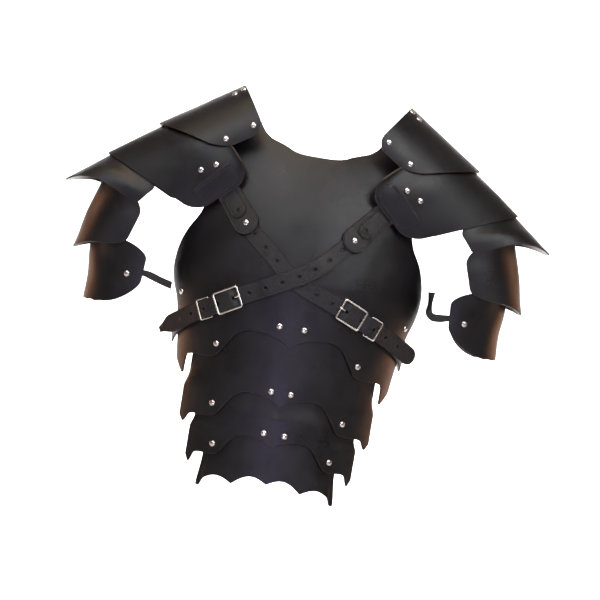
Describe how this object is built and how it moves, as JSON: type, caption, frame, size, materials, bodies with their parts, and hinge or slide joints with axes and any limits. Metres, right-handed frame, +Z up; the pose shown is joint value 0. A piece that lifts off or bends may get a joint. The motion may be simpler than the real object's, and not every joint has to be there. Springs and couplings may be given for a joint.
{
  "type": "leather chest armour",
  "caption": "Laminar leather cuirass with riveted belly lames, layered shoulder and arm lames, and crossed buckled chest straps.",
  "frame": {"origin": "midway between the shoulder caps, level with the undersides of their ridges, where the armour hangs on the shoulders", "axes": "+Z up, the front faces -Y, +X to the right as seen from the front"},
  "size_m": [0.7196, 0.262, 0.5893],
  "materials": {
    "plate_leather": "smooth black, waxed, semi-matte",
    "strap_leather": "black strap leather, slightly creased",
    "nickel": "polished nickel plate"
  },
  "bodies": {
    "root": {"arm_lame_lower_left": "plate_leather", "arm_lame_lower_right": "plate_leather", "arm_lame_middle_left": "plate_leather", "arm_lame_middle_right": "plate_leather", "arm_lame_upper_left": "plate_leather", "arm_lame_upper_right": "plate_leather", "arm_tie_left": "strap_leather", "arm_tie_right": "strap_leather", "back_strap_over": "strap_leather", "back_strap_under": "strap_leather", "belly_lame_lower": "plate_leather", "belly_lame_middle": "plate_leather", "belly_lame_upper": "plate_leather", "breastplate": "plate_leather", "buckle_over": "nickel", "buckle_under": "nickel", "chest_lame_left": "plate_leather", "chest_lame_right": "plate_leather", "chest_strap_over": "strap_leather", "chest_strap_under": "strap_leather", "end_patch_left": "plate_leather", "end_patch_right": "plate_leather", "hanger_tab_left": "strap_leather", "hanger_tab_right": "strap_leather", "keeper_over": "nickel", "keeper_under": "nickel", "rivet_arm_lower_left": "nickel", "rivet_arm_lower_right": "nickel", "rivet_belly_middle_centre_left": "nickel", "rivet_belly_middle_centre_right": "nickel", "rivet_belly_middle_side_left": "nickel", "rivet_belly_middle_side_right": "nickel", "rivet_belly_upper_centre_left": "nickel", "rivet_belly_upper_centre_right": "nickel", "rivet_belly_upper_side_left": "nickel", "rivet_belly_upper_side_right": "nickel", "rivet_breast_centre_left": "nickel", "rivet_breast_centre_right": "nickel", "rivet_breast_flank_left": "nickel", "rivet_breast_flank_right": "nickel", "rivet_breast_side_left": "nickel", "rivet_breast_side_right": "nickel", "rivet_cap_front_inner_left": "nickel", "rivet_cap_front_inner_right": "nickel", "rivet_cap_front_outer_left": "nickel", "rivet_cap_front_outer_right": "nickel", "rivet_cap_top_inner_left": "nickel", "rivet_cap_top_inner_right": "nickel", "rivet_cap_top_outer_left": "nickel", "rivet_cap_top_outer_right": "nickel", "rivet_chest_lower_left": "nickel", "rivet_chest_lower_right": "nickel", "rivet_chest_upper_left": "nickel", "rivet_chest_upper_right": "nickel", "rivet_tab_left": "nickel", "rivet_tab_right": "nickel", "shoulder_cap_left": "plate_leather", "shoulder_cap_right": "plate_leather", "waist_strap": "strap_leather"}
  },
  "joints": []
}
